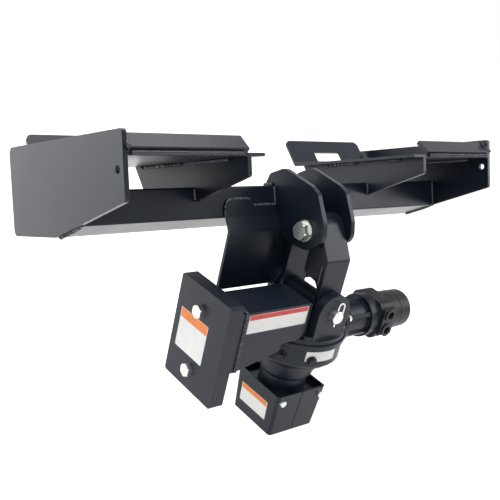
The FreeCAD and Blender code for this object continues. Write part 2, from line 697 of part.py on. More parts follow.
def gearbox_cover():
    """Cast cover with the pin bridge and the front and rear lugs that take the yoke."""
    base = -GEARBOX_TOP_DROP
    plate_top = base + COVER_PLATE
    disc = revolve_drive([(0, base), (COVER_R, base), (COVER_R, plate_top), (0, plate_top)],
                         [0, 0, COVER_EDGE_R, 0])
    lugs = []
    for start, depth in ((FRONT_LUG_Y - FRONT_LUG, FRONT_LUG), (REAR_LUG_Y, REAR_LUG)):
        lugs.append(lug(start, depth, LUG_R, base + 1))
    bridge = lug(BRIDGE_FRONT_Y, BRIDGE_REAR_Y - BRIDGE_FRONT_Y, BRIDGE_R, base + 1)
    foot = lug_foot(base)
    cover = fuse([disc, bridge, foot] + lugs)
    bore = rod(PIN_D / 2 + RUN_FIT, V(0, -HALF, -PIN_DROP), AY, FRAME_WIDTH)
    cover = cover.cut(bore)
    nose = rod(ADAPTER_FLANGE_R + 1, V(ADAPTER_START_X + 8, 0, -INPUT_DROP), AX, 60)
    trim = box(ADAPTER_START_X + 8, HALF, -HALF, HALF, base - 1, base + HALF)
    pocket = rod(PINION_POCKET_R, V(CROWN_R - 40, 0, -INPUT_DROP), AX, 80)
    return cover.cut(trim).cut(nose).cut(pocket)


def lug(start_y, depth, radius, base_z):
    """Round-topped lug about the lower pin, standing on the cover."""
    side = box(-radius, radius, start_y, start_y + depth, base_z, -PIN_DROP)
    return side.fuse(rod(radius, V(0, start_y, -PIN_DROP), AY, depth))


def lug_foot(base):
    """Raised pad that spreads the lugs' load over the cover."""
    half = BRIDGE_HALF_WIDTH + 18
    top = base + COVER_PLATE + 8
    front = FRONT_LUG_Y - FRONT_LUG
    rear = REAR_LUG_Y + REAR_LUG
    points = [V(x, y, base) for x, y in ((-half, front), (half, front), (half, rear), (-half, rear))]
    pad = Part.Face(rounded_outline(points, [22] * 4)).extrude(V(0, 0, top - base))
    return pad.common(rod(COVER_R - 2, V(0, 0, base), AZ, top - base))


def cover_bolt_seats():
    """Bolt seats round the cover, without those under the front lug and the input pad."""
    seats = []
    for k in range(COVER_BOLTS):
        angle = 2 * math.pi * (k + 0.5) / COVER_BOLTS
        x = COVER_BOLT_R * math.cos(angle)
        y = COVER_BOLT_R * math.sin(angle)
        under_lug = abs(x) < LUG_R and y < 0
        if not under_lug and x < ADAPTER_START_X - 2 * COVER_BOLT_D:
            seats.append(V(x, y, -GEARBOX_TOP_DROP + COVER_PLATE))
    return seats


def cover_bolts():
    heads = []
    for seat in cover_bolt_seats():
        heads.append(hexagon(COVER_BOLT_D * 1.6, seat, AZ, COVER_BOLT_D * 0.65))
    return Part.makeCompound(heads)


def lower_pin():
    """Hinge pin along Y: bevelled nose at the front, cross hole for its clip."""
    front = FRONT_LUG_Y - FRONT_LUG - PIN_FRONT
    rear = REAR_LUG_Y + REAR_LUG - PIN_HEAD_GAP
    pin = rod(PIN_D / 2, V(0, front, -PIN_DROP), AY, rear - front)
    nose = [e for e in pin.Edges if abs(e.CenterOfMass.y - front) < 0.01 and len(e.Vertexes) == 1]
    pin = pin.makeChamfer(2.5, nose)
    hole = rod(CLIP_WIRE_D / 2 + RUN_FIT, V(0, front + PIN_FRONT / 2, -PIN_DROP - PIN_D), AZ,
               2 * PIN_D)
    return pin.cut(hole)


def pin_clip():
    """Hairpin: a straight leg through the pin and a sprung leg that grips round it."""
    y = FRONT_LUG_Y - FRONT_LUG - PIN_FRONT / 2
    radius = CLIP_WIRE_D / 2
    top = -PIN_DROP + PIN_D / 2 + 8
    leg = rod(radius, V(0, y, -PIN_DROP - PIN_D / 2 - 10), AZ, top + PIN_DROP + PIN_D / 2 + 10)
    gap = PIN_D / 2 + radius + 0.3
    eye_path = Part.Arc(V(0, y, top), V(gap / 2, y, top + gap / 2), V(gap, y, top)).toShape()
    section = Part.Wire(Part.Circle(V(0, y, top), AZ, radius).toShape())
    eye = Part.Wire(eye_path).makePipe(Part.Face(section))
    outer = rod(radius, V(gap, y, -PIN_DROP - PIN_D / 4), AZ, top + PIN_DROP + PIN_D / 4)
    return fuse([leg, eye, outer])


def case_plugs():
    """Hex-socket fill, level and drain plugs on the drum and its shoulder."""
    plugs = []
    for angle in (215, 250, 110):
        a = math.radians(angle)
        outward = V(math.cos(a), math.sin(a), 0)
        seat = outward * (GEARBOX_R - 0.8) + V(0, 0, -CASE_FOOT_DROP + 32)
        boss = rod(PLUG_AF * 0.78, seat, outward, PLUG_HEAD * 0.5)
        head = hexagon(PLUG_AF, seat + outward * (PLUG_HEAD * 0.5), outward, PLUG_HEAD)
        plug = boss.fuse(head)
        drum = rod(GEARBOX_R, V(0, 0, -2 * CASE_FOOT_DROP), AZ, 2 * CASE_FOOT_DROP)
        plugs.append(plug.cut(drum))
    return Part.makeCompound(plugs)


# ---------------------------------------------------------------- motor pieces
def input_adapter():
    """Turned adapter between the gearbox pad and the motor's flange."""
    start = ADAPTER_START_X + 8
    first = rod(ADAPTER_FLANGE_R, V(start, 0, -INPUT_DROP), AX, ADAPTER_FLANGE)
    cone_end = start + ADAPTER_FLANGE + 22
    cone = Part.makeCone(ADAPTER_FLANGE_R - 6, ADAPTER_NECK_R, 22,
                         V(start + ADAPTER_FLANGE, 0, -INPUT_DROP), AX)
    second = ADAPTER_END_X - ADAPTER_FLANGE
    neck = rod(ADAPTER_NECK_R, V(cone_end, 0, -INPUT_DROP), AX, second - cone_end)
    last = rod(ADAPTER_FLANGE_R - 3, V(second, 0, -INPUT_DROP), AX, ADAPTER_FLANGE)
    bore = rod(ADAPTER_BORE_R, V(start - 1, 0, -INPUT_DROP), AX, ADAPTER_END_X - start + 2)
    ribs = []
    for k in range(ADAPTER_BOLTS):
        rib = box(start + ADAPTER_FLANGE - 1, second + 1, -5, 5, ADAPTER_NECK_R - 6,
                  ADAPTER_FLANGE_R - 7)
        rib.rotate(V(0, 0, 0), AX, 360 / ADAPTER_BOLTS * k)
        rib.translate(V(0, 0, -INPUT_DROP))
        ribs.append(rib)
    return fuse([first, cone, neck, last] + ribs).cut(bore)


def adapter_bolts():
    start = ADAPTER_START_X + 8 + ADAPTER_FLANGE
    bolts = []
    for k in range(ADAPTER_BOLTS):
        angle = 2 * math.pi * (k + 0.5) / ADAPTER_BOLTS
        y = ADAPTER_BOLT_R * math.cos(angle)
        z = ADAPTER_BOLT_R * math.sin(angle) - INPUT_DROP
        bolts.append(hexagon(ADAPTER_BOLT_D * 1.25, V(start, y, z), AX, ADAPTER_BOLT_D * 0.6))
    return Part.makeCompound([head.cut(input_adapter()) for head in bolts])


def motor_ports():
    """Motor front housing: mounting flange, rounded port block and its two port bosses."""
    start = ADAPTER_END_X
    flange = rod(ADAPTER_FLANGE_R - 3, V(start, 0, -INPUT_DROP), AX, MOTOR_FLANGE)
    half = PORT_BLOCK_SIZE / 2
    block_x = start + MOTOR_FLANGE
    points = [(-half, -INPUT_DROP - half), (half, -INPUT_DROP - half),
              (half, -INPUT_DROP + half), (-half, -INPUT_DROP + half)]
    block = side_plate(points, [PORT_BLOCK_R] * 4, block_x, PORT_BLOCK)
    face = box(block_x + 2, block_x + PORT_BLOCK - 2, -half - PORT_FACE, -half + 4,
               -INPUT_DROP - half + PORT_BLOCK_R, -INPUT_DROP + half - PORT_BLOCK_R + 8)
    bore = rod(ADAPTER_BORE_R, V(start - 1, 0, -INPUT_DROP), AX, MOTOR_FLANGE + 8)
    body = fuse([flange, block, face]).cut(bore)
    for z in port_heights():
        body = body.cut(rod(PORT_D / 2, V(block_x + PORT_BLOCK / 2, -half - PORT_FACE - 1, z), AY,
                            PORT_FACE + 12))
    return body


def port_heights():
    return (-INPUT_DROP - PORT_PITCH / 2 + 4, -INPUT_DROP + PORT_PITCH / 2 + 4)


def port_rings():
    """Threaded port collars that a hose fitting screws into."""
    rings = []
    x = ADAPTER_END_X + MOTOR_FLANGE + PORT_BLOCK / 2
    face = -PORT_BLOCK_SIZE / 2 - PORT_FACE
    for z in port_heights():
        rings.append(pipe(PORT_BOSS_D / 2, PORT_D / 2, V(x, face - 4, z), AY, 4))
    return Part.makeCompound(rings)


def gerotor_stack():
    """Gerotor ring between two thin wear plates, with a groove at each joint."""
    start = ADAPTER_END_X + MOTOR_FLANGE + PORT_BLOCK
    shapes = [rod(GEROTOR_R, V(start, 0, -INPUT_DROP), AX, SPACER_PLATE)]
    shapes.append(rod(GEROTOR_R - GEROTOR_GROOVE, V(start + SPACER_PLATE, 0, -INPUT_DROP), AX, 2))
    ring = start + SPACER_PLATE + 2
    shapes.append(rod(GEROTOR_R, V(ring, 0, -INPUT_DROP), AX, GEROTOR_LENGTH - 2 * SPACER_PLATE - 4))
    after = start + GEROTOR_LENGTH - SPACER_PLATE - 2
    shapes.append(rod(GEROTOR_R - GEROTOR_GROOVE, V(after, 0, -INPUT_DROP), AX, 2))
    shapes.append(rod(GEROTOR_R, V(after + 2, 0, -INPUT_DROP), AX, SPACER_PLATE))
    return fuse(shapes)


def motor_end_cap():
    start = ADAPTER_END_X + MOTOR_FLANGE + PORT_BLOCK + GEROTOR_LENGTH
    cap = rod(END_CAP_R, V(start, 0, -INPUT_DROP), AX, END_CAP)
    rim = [e for e in cap.Edges if abs(e.CenterOfMass.x - start - END_CAP) < 0.01
           and len(e.Vertexes) == 1]
    cap = cap.makeFillet(END_CAP_FILLET, rim)
    seat = rod(11, V(start + END_CAP - 1, 0, -INPUT_DROP), AX, 5)
    return cap.fuse(seat).removeSplitter()


def motor_bolts():
    start = ADAPTER_END_X + MOTOR_FLANGE + PORT_BLOCK + GEROTOR_LENGTH + END_CAP
    bolts = []
    for k in range(MOTOR_BOLTS):
        angle = 2 * math.pi * k / MOTOR_BOLTS + math.pi / 2
        y = (MOTOR_BOLT_R - 8) * math.cos(angle)
        z = (MOTOR_BOLT_R - 8) * math.sin(angle) - INPUT_DROP
        bolts.append(hexagon(MOTOR_BOLT_D * 1.5, V(start, y, z), AX, MOTOR_BOLT_D * 0.6))
    return Part.makeCompound(bolts)


# ---------------------------------------------------------------- counterweight pieces
def arm_outline():
    rest = -GEARBOX_TOP_DROP + COVER_PLATE
    top = -ARM_TOP_DROP
    left = WEIGHT_INNER_X + ARM_END_PLATE
    knee = -COVER_R - 14
    return [(left, -ARM_HEEL_DROP), (knee, -GEARBOX_TOP_DROP - 6), (knee, rest),
            (ARM_INNER_X - 18, rest), (ARM_INNER_X, rest + 18), (ARM_INNER_X, top), (left, top)]


def arm():
    """Folded box arm: open underneath, with a bevelled heel down to the weights."""
    points = arm_outline()
    corners = [V(x, ARM_FRONT_Y, z) for x, z in points]
    depth = ARM_REAR_Y - ARM_FRONT_Y
    solid = Part.Face(rounded_outline(corners, [0, 8, 0, 0, 0, 6, 0])).extrude(V(0, depth, 0))
    wall = ARM_PLATE
    left = points[0][0]
    hollow = box(left - 1, ARM_INNER_X - wall, ARM_FRONT_Y + wall, ARM_REAR_Y - wall,
                 -ARM_HEEL_DROP - 1, -ARM_TOP_DROP - wall)
    sides = solid.cut(hollow)
    plate = box(WEIGHT_INNER_X, left, ARM_FRONT_Y, ARM_REAR_Y, -ARM_HEEL_DROP, -ARM_TOP_DROP)
    sole = box(-COVER_R - 14, ARM_INNER_X - 18, ARM_FRONT_Y, ARM_REAR_Y,
               -GEARBOX_TOP_DROP + COVER_PLATE, -GEARBOX_TOP_DROP + COVER_PLATE + wall)
    body = fuse([sides, plate, sole])
    body = body.cut(weight_bolt_hole(WEIGHT_UPPER_BOLT_DROP))
    for seat in cover_bolt_seats():
        body = body.cut(rod(COVER_BOLT_D * 1.15, seat - AZ, AZ, 2 * COVER_BOLT_D))
    return body.cut(lug_foot(-GEARBOX_TOP_DROP))


def weight_bolt_hole(drop):
    return rod(WEIGHT_BOLT_D / 2 + RUN_FIT, V(WEIGHT_OUTER_X - 60, WEIGHT_BOLT_Y, -drop), AX, 200)


def weight_plate(index):
    """One of the stacked plates, laser-cut with rounded corners and two bolt holes."""
    x0 = WEIGHT_OUTER_X + index * WEIGHT_PLATE
    half = WEIGHT_WIDTH / 2
    top = -WEIGHT_TOP_DROP
    foot = top - WEIGHT_HEIGHT
    points = [(-half, foot), (half, foot), (half, top), (-half, top)]
    plate = side_plate(points, [WEIGHT_CORNER_R] * 4, x0, WEIGHT_PLATE)
    for drop in (WEIGHT_UPPER_BOLT_DROP, WEIGHT_LOWER_BOLT_DROP):
        plate = plate.cut(weight_bolt_hole(drop))
    return plate


def weight_hardware():
    """Two bolts through the stack: the upper one is tapped into the arm's end plate."""
    bolts = []
    stack = WEIGHT_PLATE * WEIGHT_PLATES
    reaches = ((WEIGHT_UPPER_BOLT_DROP, stack + ARM_END_PLATE),
               (WEIGHT_LOWER_BOLT_DROP, stack + WEIGHT_NUT + BOLT_TAIL))
    for drop, reach in reaches:
        start = V(WEIGHT_OUTER_X, WEIGHT_BOLT_Y, -drop)
        bolts.append(bolt(WEIGHT_BOLT_D, WEIGHT_BOLT_AF, WEIGHT_BOLT_HEAD, start, AX, reach))
    nut = hexagon(WEIGHT_BOLT_AF, V(WEIGHT_INNER_X, WEIGHT_BOLT_Y, -WEIGHT_LOWER_BOLT_DROP), AX,
                  WEIGHT_NUT)
    return Part.makeCompound(bolts), nut.cut(weight_bolt_hole(WEIGHT_LOWER_BOLT_DROP))


# ---------------------------------------------------------------- guard pieces
def square_wire(size, z, radius):
    half = size / 2
    points = [V(-half, -half, z), V(half, -half, z), V(half, half, z), V(-half, half, z)]
    return rounded_outline(points, [radius] * 4)


def guard_section(drop, inset, radius):
    """Square of the guard's taper at a drop below its top edge, drawn in by an inset."""
    side = GUARD_TOP - (GUARD_TOP - GUARD_FOOT) * drop / GUARD_HEIGHT
    return square_wire(side - 2 * inset, -GUARD_TOP_DROP - drop, radius)


def guard_shell():
    """Whole guard before it is split: a tapered square tube with a mounting plate set into it."""
    inner_r = GUARD_CORNER_R - GUARD_WALL + 1
    floor = GUARD_RECESS + GUARD_WALL
    outer = Part.makeLoft([guard_section(0, 0, GUARD_CORNER_R),
                           guard_section(GUARD_HEIGHT, 0, GUARD_CORNER_R)], True)
    skirt = Part.makeLoft([guard_section(floor, GUARD_WALL, inner_r),
                           guard_section(GUARD_HEIGHT + 1, GUARD_WALL, inner_r)], True)
    rim = Part.makeLoft([guard_section(-1, GUARD_WALL, inner_r),
                         guard_section(GUARD_RECESS, GUARD_WALL, inner_r)], True)
    opening = rod(SNOUT_R + RUN_FIT, V(0, 0, -GUARD_TOP_DROP - GUARD_HEIGHT), AZ, 2 * GUARD_HEIGHT)
    return outer.cut(skirt).cut(rim).cut(opening)


def guard_half(sign):
    keep = box(min(0, sign * GUARD_TOP), max(0, sign * GUARD_TOP), -GUARD_TOP, GUARD_TOP,
               -GUARD_TOP_DROP - GUARD_HEIGHT - 1, -GUARD_TOP_DROP + 1)
    keep.translate(V(sign * GUARD_SPLIT / 2, 0, 0))
    half = guard_shell().common(keep)
    for y_side in (-1, 1):
        start = V(sign * guard_bolt_x(), y_side * (GUARD_TOP / 2 + 20), guard_bolt_z())
        half = half.cut(rod(GUARD_BOLT_D / 2 + RUN_FIT, start, AY * -y_side, 40))
    return half


def guard_bolt_x():
    return GUARD_TOP / 2 - GUARD_BOLT_INSET


def guard_bolt_z():
    return -GUARD_TOP_DROP - GUARD_BOLT_DROP


def guard_bolts():
    """Hex bolts in the tapered front and back faces of both halves."""
    bolts = []
    slope = math.atan((GUARD_TOP - GUARD_FOOT) / 2 / GUARD_HEIGHT)
    face = GUARD_TOP / 2 - GUARD_BOLT_DROP * math.tan(slope)
    for sx in (-1, 1):
        for sy in (-1, 1):
            outward = V(0, sy * math.cos(slope), -math.sin(slope))
            seat = V(sx * guard_bolt_x(), sy * face, guard_bolt_z())
            head = hexagon(GUARD_BOLT_AF, seat, outward, 7)
            shank = rod(GUARD_BOLT_D / 2 - 0.6, seat, outward * -1, 16)
            bolts.append(head.fuse(shank))
    return Part.makeCompound(bolts)


# ---------------------------------------------------------------- turning pieces
def output_shaft():
    """Round output shaft, stepped down to its journal, with a cross hole for the auger pin."""
    foot = -SNOUT_DROP - SHAFT_LENGTH
    radius = SHAFT_D / 2
    journal = JOURNAL_D / 2
    step = -SNOUT_DROP - JOURNAL_SHOULDER
    top = -CROWN_DROP - CROWN_BLANK
    points = [(0, foot), (radius, foot), (radius, step), (journal, step), (journal, top), (0, top)]
    shaft = revolve_drive(points)
    rim = [e for e in shaft.Edges if abs(e.CenterOfMass.z - foot) < 0.01 and len(e.Vertexes) == 1]
    shaft = shaft.makeChamfer(SHAFT_CHAMFER, rim)
    hole = rod(SHAFT_PIN_D / 2, V(0, -SHAFT_D, foot + SHAFT_PIN_UP), AY, 2 * SHAFT_D)
    return shaft.cut(hole)


def output_bearing():
    floor = -SNOUT_DROP + SEAL_HEIGHT + 10
    return pipe(BEARING_R, JOURNAL_D / 2 + RUN_FIT, V(0, 0, floor), AZ, BEARING_HEIGHT)


def oil_seal():
    return pipe(SEAL_R, JOURNAL_D / 2 + RUN_FIT, V(0, 0, -SNOUT_DROP), AZ, SEAL_HEIGHT)


def crown_gear():
    """Crown wheel: a dished blank with radial straight teeth on its upper side."""
    face = -CROWN_DROP
    base = face - CROWN_BLANK
    web = base + CROWN_BLANK / 2
    inner = CROWN_R - CROWN_FACE
    blank = revolve_drive([(0, base), (CROWN_R - CROWN_FACE / 2, base), (CROWN_R, web),
                           (CROWN_R, face), (inner, face), (inner - 4, web), (0, web)])
    tooth_width = math.pi * inner / CROWN_TEETH * 0.9
    tooth = box(inner + 1, CROWN_R - 1, -tooth_width / 2, tooth_width / 2, face - 1,
                face + TOOTH_HEIGHT)
    teeth = []
    for k in range(CROWN_TEETH):
        one = tooth.copy()
        one.rotate(V(0, 0, 0), AZ, 360.0 / CROWN_TEETH * k)
        teeth.append(one)
    return blank.multiFuse(teeth).removeSplitter()


def pinion_shaft():
    """Input pinion with straight teeth, on a stepped shaft."""
    start = CROWN_R - CROWN_FACE + 2
    radius = PINION_R
    root = radius - TOOTH_HEIGHT
    width = CROWN_FACE - 4
    body = rod(root, V(start, 0, -INPUT_DROP), AX, width)
    tooth_width = math.pi * radius / PINION_TEETH * 0.8
    teeth = []
    for k in range(PINION_TEETH):
        tooth = box(start, start + width, -tooth_width / 2, tooth_width / 2, root - 2, radius)
        tooth.rotate(V(0, 0, 0), AX, 360.0 / PINION_TEETH * k)
        tooth.translate(V(0, 0, -INPUT_DROP))
        teeth.append(tooth)
    body = body.multiFuse(teeth)
    length = ADAPTER_END_X + MOTOR_FLANGE - start
    shaft = rod(INPUT_SHAFT_R, V(start - 6, 0, -INPUT_DROP), AX, length)
    return body.fuse(shaft).removeSplitter()


def input_bearings():
    rings = []
    for start in (ADAPTER_START_X + 9, ADAPTER_END_X - INPUT_BEARING - 10):
        rings.append(pipe(ADAPTER_BORE_R, INPUT_SHAFT_R + RUN_FIT, V(start, 0, -INPUT_DROP), AX,
                          INPUT_BEARING))
    return Part.makeCompound(rings)


# ---------------------------------------------------------------- build
def build_frame():
    save_frame("crossbeam", crossbeam())
    save_frame("cradle_plate", cradle_plate())
    handed = (("end_plate", end_plate()), ("coupler_plate", coupler_plate()),
              ("hook_bar", hook_bar()), ("inner_gusset", inner_gusset()), ("ear", ear()))
    for name, shape in handed:
        save_frame(name + "_right", shape)
        save_frame(name + "_left", mirror_x(shape))
    pivot_bolt, washers, nut = pivot_hardware()
    save_drive("pivot_bolt", pivot_bolt)
    save_drive("pivot_washers", washers)
    save_drive("pivot_nut", nut)


def build_yoke():
    save_drive("yoke_strap", yoke_strap())
    save_drive("pivot_tube", pivot_tube())
    save_drive("pivot_bushes", pivot_bushes())
    save_drive("thrust_washers", thrust_washers())
    web = yoke_gusset()
    save_drive("yoke_gusset_right", web)
    save_drive("yoke_gusset_left", mirror_x(web))
    save_drive("grease_nipple", grease_nipple())


def build_drive():
    save_drive("gearbox_housing", gearbox_housing())
    save_drive("gearbox_cover", gearbox_cover())
    save_drive("cover_bolts", cover_bolts())
    save_drive("case_plugs", case_plugs())
    save_drive("lower_pin", lower_pin())
    save_drive("pin_clip", pin_clip())
    save_drive("input_adapter", input_adapter())
    save_drive("adapter_bolts", adapter_bolts())
    save_drive("motor_port_housing", motor_ports())
    save_drive("motor_port_collars", port_rings())
    save_drive("motor_gerotor", gerotor_stack())
    save_drive("motor_end_cap", motor_end_cap())
    save_drive("motor_bolts", motor_bolts())
    save_drive("counterweight_arm", arm())
    for index, name in enumerate(("outer", "middle", "inner")):
        save_drive("counterweight_plate_" + name, weight_plate(index))
    bolts, nut = weight_hardware()
    save_drive("counterweight_bolts", bolts)
    save_drive("counterweight_nut", nut)
    save_drive("guard_half_left", guard_half(-1))
    save_drive("guard_half_right", guard_half(1))
    save_drive("guard_bolts", guard_bolts())
    save_drive("output_bearing", output_bearing())
    save_drive("oil_seal", oil_seal())
    save_drive("input_bearings", input_bearings())


def build_turning():
    save_drive("output_shaft", output_shaft())
    save_drive("crown_gear", crown_gear())
    save_drive("pinion_shaft", pinion_shaft())


def main():
    os.makedirs("parts", exist_ok=True)
    build_frame()
    build_yoke()
    build_drive()
    build_turning()


main()
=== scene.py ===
"""Earth auger drive on a tilted carrier frame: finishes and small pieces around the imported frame."""
import json
import math
import random

import bmesh
import bpy
from mathutils import Matrix, Vector


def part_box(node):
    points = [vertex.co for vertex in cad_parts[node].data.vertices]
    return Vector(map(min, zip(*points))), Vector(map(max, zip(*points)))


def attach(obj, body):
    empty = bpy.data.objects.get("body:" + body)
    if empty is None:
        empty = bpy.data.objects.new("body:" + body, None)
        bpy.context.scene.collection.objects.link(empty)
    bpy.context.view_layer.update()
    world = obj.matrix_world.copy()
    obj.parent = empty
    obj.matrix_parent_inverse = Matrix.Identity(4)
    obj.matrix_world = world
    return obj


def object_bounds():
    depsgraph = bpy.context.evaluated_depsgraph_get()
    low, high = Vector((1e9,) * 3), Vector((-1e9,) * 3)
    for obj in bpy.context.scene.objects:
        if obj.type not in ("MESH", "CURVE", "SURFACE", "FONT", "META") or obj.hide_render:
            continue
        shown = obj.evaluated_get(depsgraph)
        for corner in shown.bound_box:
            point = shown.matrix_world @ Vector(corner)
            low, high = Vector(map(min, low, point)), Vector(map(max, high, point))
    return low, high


bl_info = {
    "name": "Earth Auger Drive Dressing",
    "version": (1, 0, 0),
    "blender": (4, 5, 0),
    "location": "View3D > Sidebar > Auger Drive",
    "description": "Weld seams, threads, labels, finishes and stage for an earth auger drive",
    "category": "Object",
}

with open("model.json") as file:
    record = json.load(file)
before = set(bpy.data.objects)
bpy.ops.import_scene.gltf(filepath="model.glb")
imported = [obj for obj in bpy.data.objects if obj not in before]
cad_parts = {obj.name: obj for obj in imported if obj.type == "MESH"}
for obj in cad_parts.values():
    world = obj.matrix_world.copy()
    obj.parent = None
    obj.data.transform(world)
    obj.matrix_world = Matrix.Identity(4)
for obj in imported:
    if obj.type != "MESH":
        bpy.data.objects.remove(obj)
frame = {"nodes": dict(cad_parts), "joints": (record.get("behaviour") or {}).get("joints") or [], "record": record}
CAD_BOX = [list(corner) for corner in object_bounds()]
JOINTS = {joint["name"]: joint for joint in frame["joints"]}
PIVOT = Vector(JOINTS["yoke_swing"]["pos_m"])
MM = 0.001
CRADLE_TILT = math.radians(22.5)
SEAT_MID = Vector((0.0, 246.0, -41.0))
TILT_TURN = Matrix.Rotation(-CRADLE_TILT, 3, "X")
FRAME_BODY = "hitch_frame"
YOKE_BODY = "swing_yoke"
DRIVE_BODY = "drive_head"


def on_frame(x, depth, height):
    """Point, in metres, of a place on the tilted carrier frame given in millimetres."""
    return TILT_TURN @ (Vector((x, depth, height)) - SEAT_MID) * MM


def on_drive(x, y, z):
    """Point, in metres, of a place given in millimetres from the yoke's pivot."""
    return PIVOT + Vector((x, y, z)) * MM


# ------------------------------------------------------------------ shader groups
def socket(group, name, direction, kind, value=None):
    made = group.interface.new_socket(name=name, in_out=direction, socket_type=kind)
    if value is not None:
        made.default_value = value
    return made


def start_group(name, inputs, outputs):
    """New shader group with its inputs and outputs, and its two end nodes."""
    group = bpy.data.node_groups.new(name, "ShaderNodeTree")
    for label, kind, value in inputs:
        socket(group, label, "INPUT", kind, value)
    for label, kind in outputs:
        socket(group, label, "OUTPUT", kind)
    return group, group.nodes.new("NodeGroupInput"), group.nodes.new("NodeGroupOutput")


def math_node(nodes, operation, first=None, second=None, clamp=False):
    node = nodes.new("ShaderNodeMath")
    node.operation = operation
    node.use_clamp = clamp
    if first is not None:
        node.inputs[0].default_value = first
    if second is not None:
        node.inputs[1].default_value = second
    return node


def surface_grain_group():
    """Fine and broad unevenness of a coated or cast skin."""
    group, start, end = start_group("Surface Grain", [
        ("Fine Scale", "NodeSocketFloat", 400.0),
        ("Broad Scale", "NodeSocketFloat", 9.0),
        ("Broad Share", "NodeSocketFloat", 0.3),
    ], [("Height", "NodeSocketFloat"), ("Patches", "NodeSocketFloat")])
    nodes, links = group.nodes, group.links
    place = nodes.new("ShaderNodeTexCoord")
    fine = nodes.new("ShaderNodeTexNoise")
    fine.inputs["Detail"].default_value = 2.0
    broad = nodes.new("ShaderNodeTexNoise")
    broad.inputs["Detail"].default_value = 4.0
    blend = nodes.new("ShaderNodeMix")
    links.new(place.outputs["Object"], fine.inputs["Vector"])
    links.new(place.outputs["Object"], broad.inputs["Vector"])
    links.new(start.outputs["Fine Scale"], fine.inputs["Scale"])
    links.new(start.outputs["Broad Scale"], broad.inputs["Scale"])
    links.new(start.outputs["Broad Share"], blend.inputs["Factor"])
    links.new(fine.outputs["Fac"], blend.inputs["A"])
    links.new(broad.outputs["Fac"], blend.inputs["B"])
    links.new(blend.outputs["Result"], end.inputs["Height"])
    links.new(broad.outputs["Fac"], end.inputs["Patches"])
    return group


def edge_wear_group():
    """Mask for a painted highlight on edges: bright where a rounded normal departs from the face, at edges and
    arrises.
    """
    group, start, end = start_group("Painted Edge Highlight", [
        ("Rounded Normal", "NodeSocketVector", None),
        ("Amount", "NodeSocketFloat", 0.5),
        ("Breakup Scale", "NodeSocketFloat", 60.0),
    ], [("Mask", "NodeSocketFloat")])
    nodes, links = group.nodes, group.links
    shape = nodes.new("ShaderNodeNewGeometry")
    dot = nodes.new("ShaderNodeVectorMath")
    dot.operation = "DOT_PRODUCT"
    away = math_node(nodes, "SUBTRACT", first=1.0)
    gain = math_node(nodes, "MULTIPLY", second=7.0, clamp=True)
    place = nodes.new("ShaderNodeTexCoord")
    breakup = nodes.new("ShaderNodeTexNoise")
    patchy = math_node(nodes, "MULTIPLY")
    level = math_node(nodes, "MULTIPLY", clamp=True)
    links.new(start.outputs["Rounded Normal"], dot.inputs[0])
    links.new(shape.outputs["Normal"], dot.inputs[1])
    links.new(dot.outputs["Value"], away.inputs[1])
    links.new(away.outputs["Value"], gain.inputs[0])
    links.new(place.outputs["Object"], breakup.inputs["Vector"])
    links.new(start.outputs["Breakup Scale"], breakup.inputs["Scale"])
    links.new(gain.outputs["Value"], patchy.inputs[0])
    links.new(breakup.outputs["Fac"], patchy.inputs[1])
    links.new(patchy.outputs["Value"], level.inputs[0])
    links.new(start.outputs["Amount"], level.inputs[1])
    links.new(level.outputs["Value"], end.inputs["Mask"])
    return group


def dust_film_group():
    """Thin pale film that gathers in soft patches."""
    group, start, end = start_group("Dust Film", [
        ("Clean Colour", "NodeSocketColor", (0.02, 0.02, 0.02, 1.0)),
        ("Dust Colour", "NodeSocketColor", (0.25, 0.24, 0.22, 1.0)),
        ("Amount", "NodeSocketFloat", 0.05),
        ("Patches", "NodeSocketFloat", 0.5),
    ], [("Colour", "NodeSocketColor")])
    nodes, links = group.nodes, group.links
    spread = nodes.new("ShaderNodeMapRange")
    spread.inputs["From Min"].default_value = 0.4
    spread.inputs["From Max"].default_value = 0.75
    share = math_node(nodes, "MULTIPLY", clamp=True)
    mix = nodes.new("ShaderNodeMix")
    mix.data_type = "RGBA"
    links.new(start.outputs["Patches"], spread.inputs["Value"])
    links.new(spread.outputs["Result"], share.inputs[0])
    links.new(start.outputs["Amount"], share.inputs[1])
    links.new(share.outputs["Value"], mix.inputs["Factor"])
    links.new(start.outputs["Clean Colour"], mix.inputs["A"])
    links.new(start.outputs["Dust Colour"], mix.inputs["B"])
    links.new(mix.outputs["Result"], end.inputs["Colour"])
    return group


# ------------------------------------------------------------------ materials
FINISHES = {}


def place_group(nodes, group, values):
    node = nodes.new("ShaderNodeGroup")
    node.node_tree = group
    for name, value in values.items():
        node.inputs[name].default_value = value
    return node


